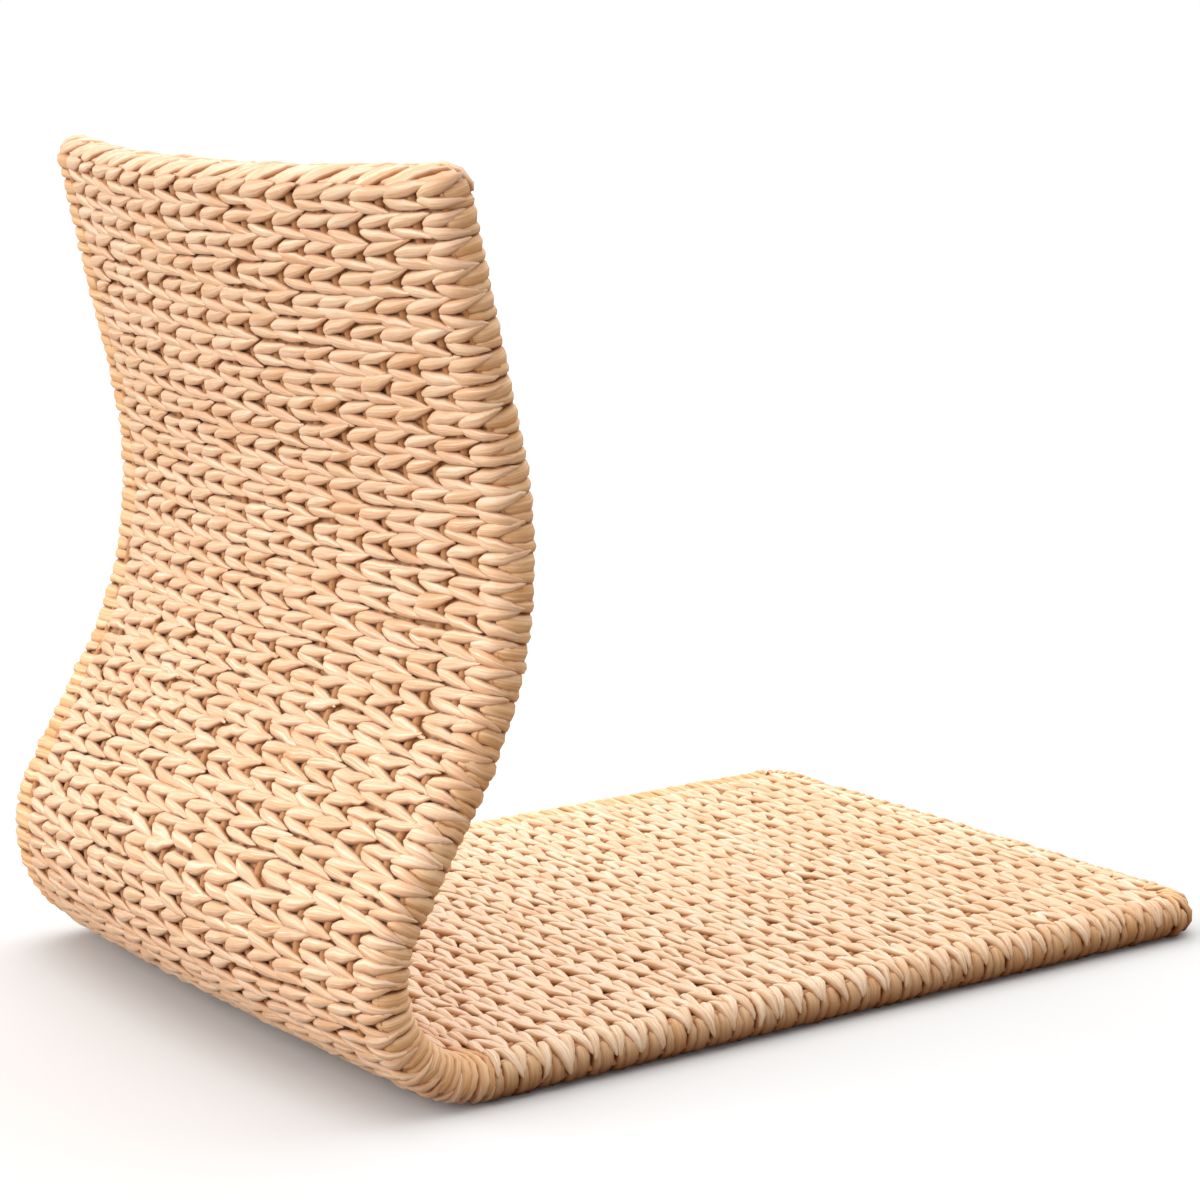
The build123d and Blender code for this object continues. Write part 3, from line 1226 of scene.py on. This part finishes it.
@dataclass
class Core:
    """Straws that the stitches hold, seen through the gaps, and the lining behind them.

    straw_ends says how far the seat's straws start behind the corners and the back's pass the top
    axis, and lining_ends how far the lining runs before the corners' end and past that axis.
    """

    panel: Panel
    weave: Weave
    straw_radius: float = 2.8 * MM
    straw_flat: float = 1.15
    straw_sides: int = 6
    straw_depth: float = -4.0 * MM
    straw_ends: Span = (2 * MM, 4 * MM)
    lining_sides: int = 96
    lining_depth: float = -3.9 * MM
    lining_ends: Span = (6 * MM, 2 * MM)
    rings: int = 90
    copy_step: float = 3.0
    # Share of painted shade given to the core straws and the lining.
    sunk: float = 0.3

    def tube(self, name: str, sides: int) -> tuple[bpy.types.Object, np.ndarray]:
        """Models a closed tube one metre long, cut into rings.

        Args:
            name: Name of the tube.
            sides: Number of its sides.

        Returns:
            The tube, standing on the origin with a radius of one metre, and its points.
        """
        bpy.ops.object.select_all(action="DESELECT")
        bpy.ops.mesh.primitive_cylinder_add(vertices=sides, radius=1, depth=1, location=(0, 0, 0.5))
        tube = bpy.context.object
        tube.name = name
        bpy.ops.object.transform_apply(location=True, rotation=True, scale=True)
        bpy.ops.object.mode_set(mode="EDIT")
        bpy.ops.mesh.select_mode(type="EDGE")
        bpy.ops.mesh.select_all(action="DESELECT")
        bpy.ops.object.mode_set(mode="OBJECT")
        corners = tube.data.vertices
        for edge in tube.data.edges:
            low, high = (corners[index].co.z for index in edge.vertices)
            edge.select = abs(high - low) > 0.5
        bpy.ops.object.mode_set(mode="EDIT")
        bpy.ops.mesh.subdivide(number_cuts=self.rings)
        bpy.ops.object.mode_set(mode="OBJECT")
        points = np.zeros(len(tube.data.vertices) * 3)
        tube.data.vertices.foreach_get("co", points)
        return tube, points.reshape(-1, 3)

    def lining(self, straw: bpy.types.Material) -> bpy.types.Object:
        """Closes the inside of the panel.

        Args:
            straw: The lining's material.

        Returns:
            The lining.
        """
        tube, points = self.tube("core_lining", self.lining_sides)
        turn = np.arctan2(points[:, 1], points[:, 0]) / (2 * math.pi)
        before, past = self.lining_ends
        low, high = self.panel.corner_end - before, self.panel.back_length + past
        s = low + (high - low) * points[:, 2]
        places = self.panel.point(turn * self.panel.loop_length, s, np.full(len(s), self.lining_depth))
        tube.data.vertices.foreach_set("co", places.ravel())
        return self.finish(tube, straw)

    def straws(self, region: Region, straw: bpy.types.Material) -> bpy.types.Object:
        """Lays the straws that run up a region behind its stitches.

        Args:
            region: The seat or the back.
            straw: Their material.

        Returns:
            The straws.
        """
        tube, points = self.tube(f"{region.value}_core_straws", self.straw_sides)
        behind, past = self.straw_ends
        low, high = {Region.SEAT: (self.panel.corner_end + behind, 0.0),
                     Region.BACK: (0.0, self.panel.back_length + past)}[region]
        s = low + (high - low) * points[:, 2]
        height = self.straw_depth + points[:, 1] * self.straw_radius
        wide = points[:, 0] * self.straw_radius * self.straw_flat
        columns = self.weave.columns(region) - self.weave.rows(region).way * self.weave.hole_before_head
        copies = [self.panel.point(along + wide, s, height) for along in columns]
        select_only(tube)
        layer = tube.modifiers.new("columns", "ARRAY")
        layer.count = len(columns)
        layer.use_relative_offset = False
        layer.use_constant_offset = True
        layer.constant_offset_displace = (self.copy_step, 0, 0)
        bpy.ops.object.modifier_apply(modifier=layer.name)
        tube.data.vertices.foreach_set("co", np.concatenate(copies).ravel())
        return self.finish(tube, straw)

    def finish(self, piece: bpy.types.Object, straw: bpy.types.Material) -> bpy.types.Object:
        """Smooths a tube, turns its faces outwards and dresses it.

        Args:
            piece: The tube in its place.
            straw: Its material.

        Returns:
            The piece.
        """
        select_only(piece)
        bpy.ops.object.mode_set(mode="EDIT")
        bpy.ops.mesh.select_all(action="SELECT")
        bpy.ops.mesh.normals_make_consistent(inside=False)
        bpy.ops.object.mode_set(mode="OBJECT")
        bpy.ops.object.shade_smooth()
        piece.data.uv_layers.active.name = "strand"
        for name, value in {"tone": 0.0, "sunk": self.sunk}.items():
            attribute = piece.data.attributes.new(name, "FLOAT", "POINT")
            attribute.data.foreach_set("value", np.full(len(piece.data.vertices), value, np.float32))
        piece.data.materials.clear()
        piece.data.materials.append(straw)
        return dress(piece, None)


@dataclass
class BarFrame:
    """The welded steel bars inside the weave, which keep their own solids."""

    paint: PaintFinish = PaintFinish()

    def dress(self) -> None:
        """Paints the bars."""
        material = self.paint.build()
        for name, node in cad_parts.items():
            if name.endswith(("_rail", "_bar")):
                node.data.materials.clear()
                node.data.materials.append(material)
                log.info("%s: painted", name)


@dataclass(frozen=True)
class Lamp:
    """A soft lamp so far away that it lights the whole floor evenly.

    Attributes:
        name: Name of the lamp.
        towards: Direction from the chair to the lamp.
        strength: Brightness that a white face turned to it gets.
        spread: Angle that the lamp fills, in degrees.
    """

    name: str
    towards: Trio
    strength: float
    spread: float

    def build(self) -> None:
        """Adds the lamp."""
        data = bpy.data.lights.new(self.name, "SUN")
        data.energy = self.strength * math.pi
        data.angle = math.radians(self.spread)
        lamp = bpy.data.objects.new(self.name, data)
        bpy.context.scene.collection.objects.link(lamp)
        x, y, z = self.towards
        lamp.rotation_euler = (math.atan2(math.hypot(x, y), z), 0, math.atan2(x, -y))


@dataclass
class Studio:
    """Pale floor, soft light and the camera."""

    azimuth: float = math.radians(234.026)
    elevation: float = math.radians(10.739)
    distance: float = 1.90097
    target: Trio = (0.001361, 0.00244, 0.21049)
    lens: float = 95.25
    sensor: float = 36.0
    floor_size: float = 40.0
    floor_drop: float = 0.4 * MM
    floor_roughness: float = 0.9
    floor_colour: Colour = (0.73, 0.73, 0.73, 1)
    floor_bounce: Colour = (0.27, 0.21, 0.16, 1)
    ambient: float = 0.32
    lamps: tuple[Lamp, ...] = (
        Lamp("key_lamp", (0.12, -0.06, 0.98), 0.64, 80),
        Lamp("rear_lamp", (0.38, 0.89, 0.22), 1.17, 70),
        Lamp("front_lamp", (0.4, -0.65, 0.65), 0.36, 100),
        Lamp("side_lamp", (-0.92, 0.15, 0.35), 0.16, 70))

    def camera(self) -> None:
        """Sets the camera where the photograph was taken."""
        data = bpy.data.cameras.new("camera")
        data.lens = self.lens
        data.sensor_width = self.sensor
        camera = bpy.data.objects.new("camera", data)
        bpy.context.scene.collection.objects.link(camera)
        flat = math.cos(self.elevation)
        away = (math.sin(self.azimuth) * flat, -math.cos(self.azimuth) * flat, math.sin(self.elevation))
        camera.location = [t + a * self.distance for t, a in zip(self.target, away)]
        camera.rotation_euler = (math.pi / 2 - self.elevation, 0, self.azimuth)
        bpy.context.scene.camera = camera

    def floor(self) -> None:
        """Lays a wide pale floor, which the straw sees in a warmer and darker colour."""
        bpy.ops.object.select_all(action="DESELECT")
        bpy.ops.mesh.primitive_plane_add(size=self.floor_size, location=(0, 0, -self.floor_drop))
        floor = bpy.context.object
        floor.name = "studio_floor"
        bpy.ops.object.transform_apply(location=True, rotation=True, scale=True)
        sketch = NodeSketch("studio_floor")
        seen = sketch.add("ShaderNodeLightPath").outputs["Is Camera Ray"]
        sketch.set(Base_Color=sketch.mix(seen, self.floor_bounce, self.floor_colour),
                   Roughness=self.floor_roughness, Specular_IOR_Level=0.0)
        floor.data.materials.append(sketch.material)

    def light(self) -> None:
        """Lights the chair softly from all round, most from above and from behind it."""
        world = bpy.data.worlds.new("studio")
        bpy.context.scene.world = world
        world.use_nodes = True
        tree = world.node_tree
        background = tree.nodes["Background"]
        background.inputs["Color"].default_value = (1, 1, 1, 1)
        rays = tree.nodes.new("ShaderNodeLightPath")
        strength = tree.nodes.new("ShaderNodeMapRange")
        tree.links.new(rays.outputs["Is Diffuse Ray"], strength.inputs["Value"])
        strength.inputs["To Min"].default_value = 1.0
        strength.inputs["To Max"].default_value = self.ambient
        tree.links.new(strength.outputs[0], background.inputs["Strength"])
        for lamp in self.lamps:
            lamp.build()

    def build(self) -> None:
        """Sets up the camera, floor, light and view."""
        self.camera()
        self.floor()
        self.light()
        bpy.context.scene.view_settings.view_transform = "Standard"


def main() -> None:
    """Builds the chair's looks in order."""
    logging.basicConfig(level=logging.INFO, format="%(name)s %(message)s")
    rng = np.random.default_rng(SEED)
    panel = Panel(bend_start=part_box("seat_top_weave")[1].y)
    strands = Strands()
    strands.model()
    # The seat's straw is a paler copy, painted light; the edges' straws are darker copies, painted shade.
    straw, seat_edge, core_straw = STRAW.build(), SHADED_SEAT_EDGE.build(), CORE_STRAW.build()
    weave = Weave(panel, strands, rng)
    weave.twine(Region.SEAT, {"woven_straw": LIT_SEAT_STRAW.build(), "straw_edge": seat_edge})
    weave.twine(Region.BACK, {"woven_straw": straw, "straw_edge": SHADED_BACK_EDGE.build()})
    borders = Borders(panel, strands, rng)
    borders.top(straw)
    # The front border takes the seat edge's painted shade, darker towards the floor.
    borders.front(seat_edge)
    core = Core(panel, weave)
    core.lining(core_straw)
    for region in Region:
        core.straws(region, core_straw)
    BarFrame().dress()
    Studio().build()


if __name__ == "__main__":
    main()
